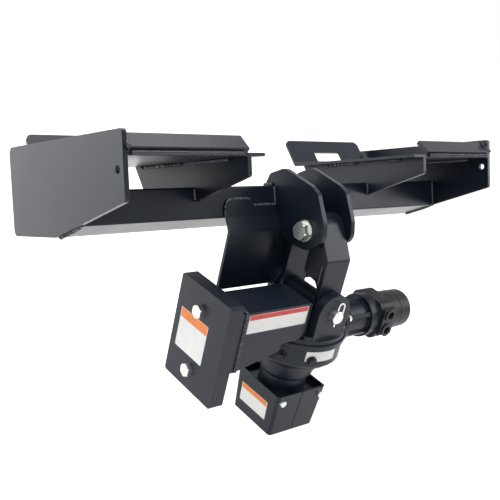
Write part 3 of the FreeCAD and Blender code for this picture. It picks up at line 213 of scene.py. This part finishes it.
def skin_material(name, look, groups):
    """Coated, cast or bare metal skin with rounded arrises, grain, film and a painted highlight on its edges."""
    material = FINISHES[name] = bpy.data.materials.new("finish_" + name)
    material.use_nodes = True
    nodes, links = material.node_tree.nodes, material.node_tree.links
    shader = nodes["Principled BSDF"]
    shader.inputs["Metallic"].default_value = look["metallic"]
    shader.inputs["Specular IOR Level"].default_value = look["specular"]
    shader.inputs["Coat Weight"].default_value = look["coat"]
    shader.inputs["Coat Roughness"].default_value = look["coat_roughness"]
    rounded = nodes.new("ShaderNodeBevel")
    rounded.samples = 4
    rounded.inputs["Radius"].default_value = look["arris"]
    grain = place_group(nodes, groups["grain"], {
        "Fine Scale": look["fine"], "Broad Scale": look["broad"], "Broad Share": look["share"]})
    # Edge mask that sets where the painted edge highlight goes.
    wear = place_group(nodes, groups["wear"], {"Amount": look["wear"], "Breakup Scale": 55.0})
    film = place_group(nodes, groups["film"], {
        "Clean Colour": look["colour"] + (1.0,), "Dust Colour": look["film_colour"] + (1.0,),
        "Amount": look["film"]})
    # Mixes a lighter colour into the film colour at the edges: a painted edge highlight.
    highlight_mix = nodes.new("ShaderNodeMix")
    highlight_mix.data_type = "RGBA"
    highlight_mix.inputs["B"].default_value = look["wear_colour"] + (1.0,)
    satin = nodes.new("ShaderNodeMapRange")
    satin.inputs["To Min"].default_value = look["roughness"][0]
    satin.inputs["To Max"].default_value = look["roughness"][1]
    bump = nodes.new("ShaderNodeBump")
    bump.inputs["Strength"].default_value = look["bump"]
    bump.inputs["Distance"].default_value = look["bump_depth"]
    links.new(rounded.outputs["Normal"], wear.inputs["Rounded Normal"])
    links.new(grain.outputs["Patches"], film.inputs["Patches"])
    links.new(wear.outputs["Mask"], highlight_mix.inputs["Factor"])
    links.new(film.outputs["Colour"], highlight_mix.inputs["A"])
    links.new(highlight_mix.outputs["Result"], shader.inputs["Base Color"])
    links.new(grain.outputs["Patches"], satin.inputs["Value"])
    links.new(satin.outputs["Result"], shader.inputs["Roughness"])
    links.new(grain.outputs["Height"], bump.inputs["Height"])
    links.new(rounded.outputs["Normal"], bump.inputs["Normal"])
    links.new(bump.outputs["Normal"], shader.inputs["Normal"])
    return material


# The edge-mask amount and the lighter colour it mixes in make a painted highlight on edges; the other keys
# describe the skin itself.
BLACK = {
    "colour": (0.0062, 0.0102, 0.0185), "film_colour": (0.16, 0.17, 0.19), "film": 0.02,
    "wear_colour": (0.13, 0.135, 0.15), "wear": 0.7, "metallic": 0.0, "specular": 0.26,
    "coat": 0.0, "coat_roughness": 0.12, "arris": 0.0012, "fine": 260.0, "broad": 7.0,
    "share": 0.35, "roughness": (0.22, 0.38), "bump": 0.10, "bump_depth": 0.0006,
}
LOOKS = {
    "black_powder_coat": BLACK,
    "black_cast_enamel": dict(BLACK, fine=420.0, broad=45.0, share=0.4, bump=0.35,
                              bump_depth=0.0009, roughness=(0.30, 0.46), arris=0.0018),
    "black_motor_enamel": dict(BLACK, colour=(0.012, 0.013, 0.017), fine=520.0, broad=60.0,
                               share=0.3, bump=0.25, roughness=(0.34, 0.5), arris=0.0014),
    "weld_bead": dict(BLACK, specular=0.6, roughness=(0.10, 0.24), fine=700.0, broad=160.0,
                      share=0.5, bump=0.5, bump_depth=0.0008, arris=0.0006, wear=0.0),
    "zinc_plate": dict(BLACK, specular=0.5, colour=(0.70, 0.71, 0.69),
                       film_colour=(0.42, 0.41, 0.36), film=0.35,
                       wear_colour=(0.86, 0.86, 0.84), metallic=1.0, fine=900.0, broad=130.0,
                       roughness=(0.22, 0.40), bump=0.12, bump_depth=0.0003, arris=0.0007),
    "machined_steel": dict(BLACK, colour=(0.50, 0.50, 0.50), film_colour=(0.30, 0.29, 0.27),
                           film=0.3, wear_colour=(0.7, 0.7, 0.7), metallic=1.0,
                           fine=1100.0, broad=90.0, roughness=(0.20, 0.36), bump=0.1,
                           bump_depth=0.0003, arris=0.0007),
    "bronze": dict(BLACK, colour=(0.58, 0.38, 0.16), film_colour=(0.22, 0.15, 0.08), film=0.4,
                   wear_colour=(0.75, 0.55, 0.3), metallic=1.0, fine=700.0,
                   broad=120.0, roughness=(0.3, 0.48), arris=0.0006),
    "seal_rubber": dict(BLACK, colour=(0.015, 0.015, 0.015), wear=0.0, roughness=(0.55, 0.7),
                        fine=800.0, bump=0.2, arris=0.0008),
}


def label_material(name, colour, groups):
    """Printed vinyl: flat colour with a soft sheen and a faint ripple from the paint below."""
    material = FINISHES[name] = bpy.data.materials.new("finish_" + name)
    material.use_nodes = True
    nodes, links = material.node_tree.nodes, material.node_tree.links
    shader = nodes["Principled BSDF"]
    shader.inputs["Specular IOR Level"].default_value = 0.4
    grain = place_group(nodes, groups["grain"], {
        "Fine Scale": 500.0, "Broad Scale": 40.0, "Broad Share": 0.7})
    film = place_group(nodes, groups["film"], {
        "Clean Colour": colour + (1.0,), "Dust Colour": (0.45, 0.43, 0.40, 1.0), "Amount": 0.16})
    satin = nodes.new("ShaderNodeMapRange")
    satin.inputs["To Min"].default_value = 0.3
    satin.inputs["To Max"].default_value = 0.48
    bump = nodes.new("ShaderNodeBump")
    bump.inputs["Strength"].default_value = 0.06
    bump.inputs["Distance"].default_value = 0.0004
    links.new(grain.outputs["Patches"], film.inputs["Patches"])
    links.new(film.outputs["Colour"], shader.inputs["Base Color"])
    links.new(grain.outputs["Patches"], satin.inputs["Value"])
    links.new(satin.outputs["Result"], shader.inputs["Roughness"])
    links.new(grain.outputs["Height"], bump.inputs["Height"])
    links.new(bump.outputs["Normal"], shader.inputs["Normal"])
    return material


# ------------------------------------------------------------------ mesh helpers
def finish_piece(name, mesh, materials, body):
    """Turns a bmesh into a piece at the origin that rides on a body."""
    data = bpy.data.meshes.new(name)
    mesh.to_mesh(data)
    mesh.free()
    for material in materials:
        data.materials.append(FINISHES[material])
    piece = bpy.data.objects.new(name, data)
    bpy.context.scene.collection.objects.link(piece)
    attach(piece, body)
    return piece


def shade_smooth(piece, angle=35.0):
    for polygon in piece.data.polygons:
        polygon.use_smooth = True
    piece.data.set_sharp_from_angle(angle=math.radians(angle))


def resample(points, step):
    """Evenly spaced points along a run of straight stretches."""
    spaced = [points[0].copy()]
    for start, end in zip(points, points[1:]):
        count = max(1, round((end - start).length / step))
        spaced += [start.lerp(end, k / count) for k in range(1, count + 1)]
    return spaced


def ring_place(point, tangent, size):
    turn = tangent.to_track_quat("Z", "Y").to_matrix().to_4x4()
    return Matrix.Translation(point) @ turn @ Matrix.Diagonal((size, size, size, 1.0))


BEAD_STEP = 1.3 * MM
BEAD_SIDES = 8
BEAD_RIPPLE = (1.0, 0.93, 0.80)
BEAD_START = 0.55
BEAD_END = 0.6
BEAD_UNEVENNESS = 0.06


def weld_bead(mesh, points, radius, seed):
    """Rippled bead swept along a run of points: a ring extruded step by step, closed at its ends."""
    draw = random.Random(seed)
    spaced = resample(points, BEAD_STEP)
    ring = bmesh.ops.create_circle(mesh, cap_ends=True, segments=BEAD_SIDES, radius=1.0)["verts"]
    tangents = []
    for k in range(len(spaced)):
        ahead = spaced[min(k + 1, len(spaced) - 1)] - spaced[max(k - 1, 0)]
        tangents.append(ahead.normalized())
    place = ring_place(spaced[0], tangents[0], BEAD_START * radius)
    bmesh.ops.transform(mesh, matrix=place, verts=ring)
    edges = list({edge for vert in ring for edge in vert.link_edges})
    for k in range(1, len(spaced)):
        made = bmesh.ops.extrude_edge_only(mesh, edges=edges)
        verts = [item for item in made["geom"] if isinstance(item, bmesh.types.BMVert)]
        edges = [item for item in made["geom"] if isinstance(item, bmesh.types.BMEdge)]
        ripple = BEAD_RIPPLE[k % len(BEAD_RIPPLE)]
        taper = BEAD_END if k == len(spaced) - 1 else 1.0
        size = radius * ripple * taper * draw.uniform(1 - BEAD_UNEVENNESS, 1 + BEAD_UNEVENNESS)
        following = ring_place(spaced[k], tangents[k], size)
        bmesh.ops.transform(mesh, matrix=following @ place.inverted(), verts=verts)
        place = following
    bmesh.ops.contextual_create(mesh, geom=edges)


def weld_piece(name, runs, body, radius):
    """One piece that holds several weld runs, each a list of points."""
    mesh = bmesh.new()
    for seed, run in enumerate(runs):
        weld_bead(mesh, run, radius, seed)
    bmesh.ops.recalc_face_normals(mesh, faces=mesh.faces)
    piece = finish_piece(name, mesh, ["weld_bead"], body)
    shade_smooth(piece, 50.0)
    return piece


def thread_helix(mesh, root, crest, pitch, turns, place, steps=32):
    """V-shaped thread ridge wound along local Z: a small triangle spun with an advance."""
    sunk_root = root - 0.2 * (crest - root)
    half_foot = 0.44 * pitch
    corners = [(sunk_root, 0, -half_foot), (crest, 0, 0), (sunk_root, 0, half_foot)]
    verts = [mesh.verts.new(corner) for corner in corners]
    face = mesh.faces.new(verts)
    bmesh.ops.spin(mesh, geom=[face], cent=(0, 0, 0), axis=(0, 0, 1),
                   dvec=(0, 0, pitch / steps), angle=2 * math.pi * turns,
                   steps=int(steps * turns), use_duplicate=False)
    bmesh.ops.transform(mesh, matrix=place, verts=mesh.verts)


def facing(origin, direction):
    """Place whose local Z looks along a direction."""
    return Matrix.Translation(origin) @ direction.to_track_quat("Z", "Y").to_matrix().to_4x4()


# ------------------------------------------------------------------ weld seams
def mirrored(runs):
    """The runs and their mirror images across the middle of the frame."""
    flip = Vector((-1.0, 1.0, 1.0))
    return runs + [[point * flip for point in run] for run in runs]


def frame_seams():
    """Runs on the +X side of the frame, in millimetres of its own tilted system."""
    end, gusset_out, gusset_in = 561.5, 288.0, 278.0
    beam_profile = [(186, -106), (186, -172), (214, -181), (284, -198)]
    lobe = [(205, -176), (205, -152), (201, -142), (194, -136), (186, -134), (142, -134),
            (134, -137), (128, -144), (124, -150), (56, -150)]
    hook_foot = [(gusset_out + 10, -2, -42), (end - 6, -2, -42)]
    hook_end = [(end, -7, -34), (end, 19, -8)]
    seams = {
        "weld_seat": [
            [(end, 60, -50), (end, 205, -50)],
            [(end, 250, -50), (end, 400, -50)],
            [(gusset_out, 60, -50), (gusset_out, 180, -50)],
            [(gusset_out, 230, -50), (gusset_out, 395, -50)],
            [(gusset_in, 70, -50), (gusset_in, 110, -50)],
            [(gusset_in, 220, -50), (gusset_in, 330, -50)],
        ],
        "weld_hook_bars": [hook_foot, hook_end],
        "weld_beam_ends": [[(end, y, z) for y, z in beam_profile],
                           [(gusset_out, 186, -106), (gusset_out, 186, -134)],
                           [(gusset_in, 186, -106), (gusset_in, 186, -134)]],
        "weld_cradle": [[(x, 186, z) for x, z in lobe]],
        "weld_ears": [
            [(54, 186, -148), (54, 186, -106)],
            [(54, 192, -102), (54, 222, -102)],
            [(38, 186, -148), (38, 186, -106)],
            [(38, 192, -102), (38, 222, -102)],
        ],
    }
    return {name: mirrored([[on_frame(*point) for point in run] for run in runs])
            for name, runs in seams.items()}


def drive_seams():
    """Runs that join the arm to its end plate."""
    left, front, rear, top, heel = -257.0, -91.0, 14.0, -140.0, -284.0
    end_plate = [
        [(left, front, heel), (left, front, top)],
        [(left, front, top), (left, rear, top)],
        [(left, rear, top), (left, rear, heel)],
    ]
    return [[on_drive(*point) for point in run] for run in end_plate]


def yoke_seams():
    """Runs on both faces of the two gussets that stiffen the yoke."""
    depth, upper, lower = -67.0, -60.0, -108.0
    runs = [[(side * x, depth, upper), (side * x, depth, lower)]
            for side in (-1, 1) for x in (30.0, 38.0)]
    return [[on_drive(*point) for point in run] for run in runs]


# ------------------------------------------------------------------ labels
LABEL_THICKNESS = 0.25 * MM
LABEL_RULE = 1.6 * MM


def rounded_card(mesh, width, height, radius, thickness, level, material):
    """Flat card with rounded corners, its face at level above the local XY plane."""
    known = set(mesh.verts)
    bmesh.ops.create_grid(mesh, x_segments=1, y_segments=1, size=0.5)
    verts = [vert for vert in mesh.verts if vert not in known]
    bmesh.ops.scale(mesh, vec=(width, height, 1.0), verts=verts)
    bmesh.ops.bevel(mesh, geom=verts, offset=radius, offset_type="OFFSET", segments=5,
                    profile=0.5, affect="VERTICES", material=-1)
    faces = [face for face in mesh.faces if not set(face.verts) & known]
    made = bmesh.ops.extrude_face_region(mesh, geom=faces)
    top = [item for item in made["geom"] if isinstance(item, bmesh.types.BMVert)]
    bmesh.ops.translate(mesh, vec=(0, 0, thickness), verts=top)
    own = [vert for vert in mesh.verts if vert not in known]
    bmesh.ops.translate(mesh, vec=(0, 0, level), verts=own)
    for face in mesh.faces:
        if not set(face.verts) & known:
            face.material_index = material
    return own


def label_piece(name, corner_top, corner_side, corner_low, header, head_material, body):
    """Label with a coloured header field over a white field, on a flat face.

    The corners are top left, top right and bottom left; the header is a share of the height."""
    across = corner_side - corner_top
    down = corner_low - corner_top
    width, height = across.length, down.length
    x_axis = across.normalized()
    z_axis = -x_axis.cross(down).normalized()
    y_axis = z_axis.cross(x_axis)
    middle = corner_top + (across + down) / 2
    turn = Matrix((x_axis, y_axis, z_axis)).transposed().to_4x4()
    place = Matrix.Translation(middle) @ turn
    rule = LABEL_RULE
    tall = height * header
    mesh = bmesh.new()
    rounded_card(mesh, width, height, 3.2 * MM, LABEL_THICKNESS, 0.02 * MM, 2)
    rounded_card(mesh, width - 2 * rule, height - 2 * rule, 2.4 * MM, LABEL_THICKNESS, 0.06 * MM, 0)
    card = rounded_card(mesh, width - 4 * rule, tall - rule, 1.8 * MM, LABEL_THICKNESS, 0.10 * MM, 1)
    bmesh.ops.translate(mesh, vec=(0, (height - tall) / 2 - rule, 0), verts=card)
    bmesh.ops.transform(mesh, matrix=place, verts=mesh.verts)
    bmesh.ops.recalc_face_normals(mesh, faces=mesh.faces)
    return finish_piece(name, mesh, ["label_white", head_material, "label_rule"], body)


def curved_label(name, radius, first, last, top, foot):
    """White label wrapped round the gearbox's drum between two angles in degrees.

    The radius and the two heights are in millimetres from the yoke's pivot."""
    mesh = bmesh.new()
    turn = math.radians(first)
    across = Vector((math.cos(turn), math.sin(turn), 0.0)) * radius
    low = mesh.verts.new(across + Vector((0, 0, foot)))
    high = mesh.verts.new(across + Vector((0, 0, top)))
    edge = mesh.edges.new((low, high))
    bmesh.ops.spin(mesh, geom=[edge], cent=(0, 0, 0), axis=(0, 0, 1),
                   angle=math.radians(last - first), steps=24)
    bmesh.ops.solidify(mesh, geom=mesh.faces[:], thickness=-LABEL_THICKNESS / MM)
    bmesh.ops.recalc_face_normals(mesh, faces=mesh.faces)
    bmesh.ops.transform(mesh, matrix=Matrix.Translation(PIVOT) @ Matrix.Scale(MM, 4),
                        verts=mesh.verts)
    piece = finish_piece(name, mesh, ["label_white"], DRIVE_BODY)
    shade_smooth(piece)


# ------------------------------------------------------------------ properties
class AugerDriveDetail(bpy.types.PropertyGroup):
    """Sizes of the small pieces."""
    bead_radius: bpy.props.FloatProperty(
        name="Bead Radius", description="Half-width of a weld bead on the frame",
        default=0.0054, min=0.001, max=0.012, unit="LENGTH")
    drive_bead_radius: bpy.props.FloatProperty(
        name="Drive Bead Radius", description="Half-width of a weld bead on the drive's arm",
        default=0.0052, min=0.001, max=0.012, unit="LENGTH")
    thread_pitch: bpy.props.FloatProperty(
        name="Thread Pitch", description="Distance between the threads of the pivot bolt",
        default=0.0021, min=0.001, max=0.005, unit="LENGTH")


class AugerDriveFinish(bpy.types.PropertyGroup):
    """Colours of the labels and the stage."""
    header_orange: bpy.props.FloatVectorProperty(
        name="Orange Header", description="Header colour of the labels on guard and weights",
        default=(0.86, 0.22, 0.02), subtype="COLOR", min=0.0, max=1.0)
    header_red: bpy.props.FloatVectorProperty(
        name="Red Header", description="Header colour of the label on the arm",
        default=(0.62, 0.03, 0.02), subtype="COLOR", min=0.0, max=1.0)
    floor_colour: bpy.props.FloatVectorProperty(
        name="Floor Colour", description="Pale floor that takes the shadow",
        default=(0.8, 0.8, 0.8), subtype="COLOR", min=0.0, max=1.0)


# ------------------------------------------------------------------ operators
class AugerFinishes(bpy.types.Operator):
    """Gives every part of the frame its finish"""
    bl_idname = "auger.finishes"
    bl_label = "Finishes"

    def execute(self, context):
        # The edge group paints a lighter highlight onto the edges.
        groups = {"grain": surface_grain_group(), "wear": edge_wear_group(),
                  "film": dust_film_group()}
        for name, look in LOOKS.items():
            skin_material(name, look, groups)
        finish = context.scene.auger_finish
        label_material("label_white", (0.82, 0.82, 0.80), groups)
        label_material("label_rule", (0.03, 0.03, 0.03), groups)
        label_material("label_orange", tuple(finish.header_orange), groups)
        label_material("label_red", tuple(finish.header_red), groups)
        for part in frame["record"]["subparts"]:
            node = frame["nodes"][part["node"]]
            for place in node.material_slots:
                place.material = FINISHES[part["material_slot"]]
        return {"FINISHED"}


class AugerWelds(bpy.types.Operator):
    """Lays the weld seams of the frame, yoke and arm"""
    bl_idname = "auger.welds"
    bl_label = "Weld Seams"

    def execute(self, context):
        detail = context.scene.auger_detail
        for name, runs in frame_seams().items():
            weld_piece(name, runs, FRAME_BODY, detail.bead_radius)
        weld_piece("weld_arm", drive_seams(), DRIVE_BODY, detail.drive_bead_radius)
        weld_piece("weld_yoke", yoke_seams(), YOKE_BODY, 0.7 * detail.bead_radius)
        return {"FINISHED"}


class AugerThreads(bpy.types.Operator):
    """Winds the thread that shows on the tail of the pivot bolt"""
    bl_idname = "auger.threads"
    bl_label = "Threads"

    def execute(self, context):
        pitch = context.scene.auger_detail.thread_pitch
        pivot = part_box("pivot_bolt")
        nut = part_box("pivot_nut")
        mesh = bmesh.new()
        root, crest, run_in, run_out = 12.72 * MM, 13.3 * MM, 0.4 * MM, 1.2 * MM
        tail = Vector((nut[1].x + run_in, PIVOT.y, PIVOT.z))
        turns = (pivot[1].x - nut[1].x - run_out) / pitch
        thread_helix(mesh, root, crest, pitch, turns, facing(tail, Vector((1, 0, 0))))
        bmesh.ops.recalc_face_normals(mesh, faces=mesh.faces)
        piece = finish_piece("thread_pivot_bolt", mesh, ["zinc_plate"], FRAME_BODY)
        shade_smooth(piece)
        return {"FINISHED"}


class AugerLabels(bpy.types.Operator):
    """Places the bare colour fields of the labels"""
    bl_idname = "auger.labels"
    bl_label = "Labels"

    def execute(self, context):
        clear = 0.02
        outer = (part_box("counterweight_plate_outer")[0].x - PIVOT.x) / MM - clear
        label_piece("label_weight", on_drive(outer, 72, -195), on_drive(outer, -34, -195),
                    on_drive(outer, 72, -295), 0.24, "label_orange", DRIVE_BODY)
        front = (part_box("counterweight_arm")[0].y - PIVOT.y) / MM - clear
        label_piece("label_arm", on_drive(-250, front, -144), on_drive(-72, front, -144),
                    on_drive(-250, front, -192), 0.27, "label_red", DRIVE_BODY)
        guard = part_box("guard_half_left")
        side = (guard[0].x - PIVOT.x) / MM - clear
        guard_slope = 6.5 / 116.0
        upper, lower = side + 33 * guard_slope, side + 87 * guard_slope
        label_piece("label_guard", on_drive(upper, 56, -436), on_drive(upper, -48, -436),
                    on_drive(lower, 56, -490), 0.27, "label_orange", DRIVE_BODY)
        drum_radius = 120.3
        curved_label("label_gearbox", drum_radius, first=-118, last=-77, top=-262, foot=-288)
        return {"FINISHED"}


# name, place, point it aims at, edge in metres, watts
LAMPS = [
    ("lamp_key", (-1.6, -2.4, 2.6), (0.0, 0.0, -0.2), 1.8, 46.0),
    ("lamp_left", (-2.6, 2.2, 0.75), (-0.3, -0.1, -0.2), 2.6, 96.0),
    ("lamp_top", (0.3, 0.6, 2.8), (0.0, 0.0, 0.0), 2.2, 60.0),
    ("lamp_right", (2.6, -1.6, 1.2), (0.2, 0.0, -0.2), 1.4, 28.0),
]
SKY_STRENGTH = 0.36
FLOOR_LIFT = 0.72
FLOOR_HALF = 14.0
CAMERA_PLACE = (-1.251, -1.328, 0.459)
CAMERA_RIGHT = (0.757, -0.617, 0.215)
CAMERA_FORWARD = (0.648, 0.667, -0.367)
CAMERA_LENS = 54.03
CAMERA_SHIFT = (-0.0241, 0.0154)


class AugerStage(bpy.types.Operator):
    """Sets the floor, lamps, world and camera"""
    bl_idname = "auger.stage"
    bl_label = "Stage"

    def execute(self, context):
        scene = context.scene
        make_floor(tuple(scene.auger_finish.floor_colour))
        make_world()
        for name, place, aim, size, power in LAMPS:
            make_lamp(name, Vector(place), Vector(aim), size, power)
        scene.camera = make_camera()
        scene.view_settings.view_transform = "Standard"
        return {"FINISHED"}


def seen_mask(tree):
    """1 for camera, glossy and transmission rays, and 0 for the rays that light the object."""
    nodes, links = tree.nodes, tree.links
    rays = nodes.new("ShaderNodeLightPath")
    seen = math_node(nodes, "ADD")
    shown = math_node(nodes, "ADD", clamp=True)
    links.new(rays.outputs["Is Camera Ray"], seen.inputs[0])
    links.new(rays.outputs["Is Glossy Ray"], seen.inputs[1])
    links.new(seen.outputs["Value"], shown.inputs[0])
    links.new(rays.outputs["Is Transmission Ray"], shown.inputs[1])
    return shown.outputs["Value"]


def show_white(tree, shader, surface, white):
    """Mixes a shader with plain white for camera, glossy and transmission rays."""
    nodes, links = tree.nodes, tree.links
    mix = nodes.new("ShaderNodeMixShader")
    links.new(seen_mask(tree), mix.inputs["Fac"])
    links.new(shader, mix.inputs[1])
    links.new(white, mix.inputs[2])
    links.new(mix.outputs["Shader"], surface)


def make_world():
    world = bpy.data.worlds.new("studio")
    bpy.context.scene.world = world
    world.use_nodes = True
    tree = world.node_tree
    soft = tree.nodes["Background"]
    soft.inputs["Color"].default_value = (1.0, 1.0, 1.0, 1.0)
    soft.inputs["Strength"].default_value = SKY_STRENGTH
    white = tree.nodes.new("ShaderNodeBackground")
    white.inputs["Color"].default_value = (1.0, 1.0, 1.0, 1.0)
    white.inputs["Strength"].default_value = 1.0
    show_white(tree, soft.outputs["Background"],
               tree.nodes["World Output"].inputs["Surface"], white.outputs["Background"])


def make_floor(colour):
    """Pale floor under the lowest point: white to the camera but for the shadow it keeps."""
    low = min(corner[2] for corner in CAD_BOX)
    mesh = bmesh.new()
    bmesh.ops.create_grid(mesh, x_segments=1, y_segments=1, size=FLOOR_HALF)
    bmesh.ops.translate(mesh, vec=(0, 0, low - 0.5 * MM), verts=mesh.verts)
    data = bpy.data.meshes.new("floor")
    mesh.to_mesh(data)
    mesh.free()
    material = bpy.data.materials.new("floor_pale")
    material.use_nodes = True
    nodes, links = material.node_tree.nodes, material.node_tree.links
    shader = nodes["Principled BSDF"]
    shader.inputs["Base Color"].default_value = colour + (1.0,)
    shader.inputs["Roughness"].default_value = 0.9
    shader.inputs["Specular IOR Level"].default_value = 0.1
    shader.inputs["Emission Color"].default_value = (1.0, 1.0, 1.0, 1.0)
    lift = math_node(nodes, "MULTIPLY", second=FLOOR_LIFT)
    links.new(seen_mask(material.node_tree), lift.inputs[0])
    links.new(lift.outputs["Value"], shader.inputs["Emission Strength"])
    data.materials.append(material)
    floor = bpy.data.objects.new("floor", data)
    bpy.context.scene.collection.objects.link(floor)


def make_lamp(name, place, aim, size, power):
    data = bpy.data.lights.new(name, "AREA")
    data.shape = "SQUARE"
    data.size = size
    data.energy = power
    lamp = bpy.data.objects.new(name, data)
    lamp.matrix_world = (Matrix.Translation(place)
                         @ (aim - place).to_track_quat("-Z", "Y").to_matrix().to_4x4())
    bpy.context.scene.collection.objects.link(lamp)


def make_camera():
    """Camera above the front left corner of the frame."""
    right = Vector(CAMERA_RIGHT).normalized()
    forward = Vector(CAMERA_FORWARD).normalized()
    up = right.cross(forward).normalized()
    right = forward.cross(up).normalized()
    data = bpy.data.cameras.new("camera")
    data.sensor_width = 36.0
    data.lens = CAMERA_LENS
    data.shift_x, data.shift_y = CAMERA_SHIFT
    data.clip_start = 0.05
    turn = Matrix((right, up, -forward)).transposed().to_4x4()
    camera = bpy.data.objects.new("camera", data)
    camera.matrix_world = Matrix.Translation(Vector(CAMERA_PLACE)) @ turn
    bpy.context.scene.collection.objects.link(camera)
    return camera


class AugerPanel(bpy.types.Panel):
    """Lists the steps that dress the auger drive"""
    bl_idname = "VIEW3D_PT_auger_drive"
    bl_label = "Auger Drive"
    bl_space_type = "VIEW_3D"
    bl_region_type = "UI"
    bl_category = "Auger Drive"

    def draw(self, context):
        layout = self.layout
        for holder in (context.scene.auger_detail, context.scene.auger_finish):
            for name in holder.__annotations__:
                layout.prop(holder, name)
        for step in STEPS:
            layout.operator(step.bl_idname)


STEPS = (AugerStage, AugerFinishes, AugerWelds, AugerThreads, AugerLabels)
CLASSES = (AugerDriveDetail, AugerDriveFinish) + STEPS + (AugerPanel,)


def register():
    for item in CLASSES:
        bpy.utils.register_class(item)
    bpy.types.Scene.auger_detail = bpy.props.PointerProperty(type=AugerDriveDetail)
    bpy.types.Scene.auger_finish = bpy.props.PointerProperty(type=AugerDriveFinish)


def unregister():
    del bpy.types.Scene.auger_finish
    del bpy.types.Scene.auger_detail
    for item in reversed(CLASSES):
        bpy.utils.unregister_class(item)


def main():
    register()
    bpy.ops.auger.stage()
    bpy.ops.auger.finishes()
    bpy.ops.auger.welds()
    bpy.ops.auger.threads()
    bpy.ops.auger.labels()


if __name__ == "__main__":
    main()
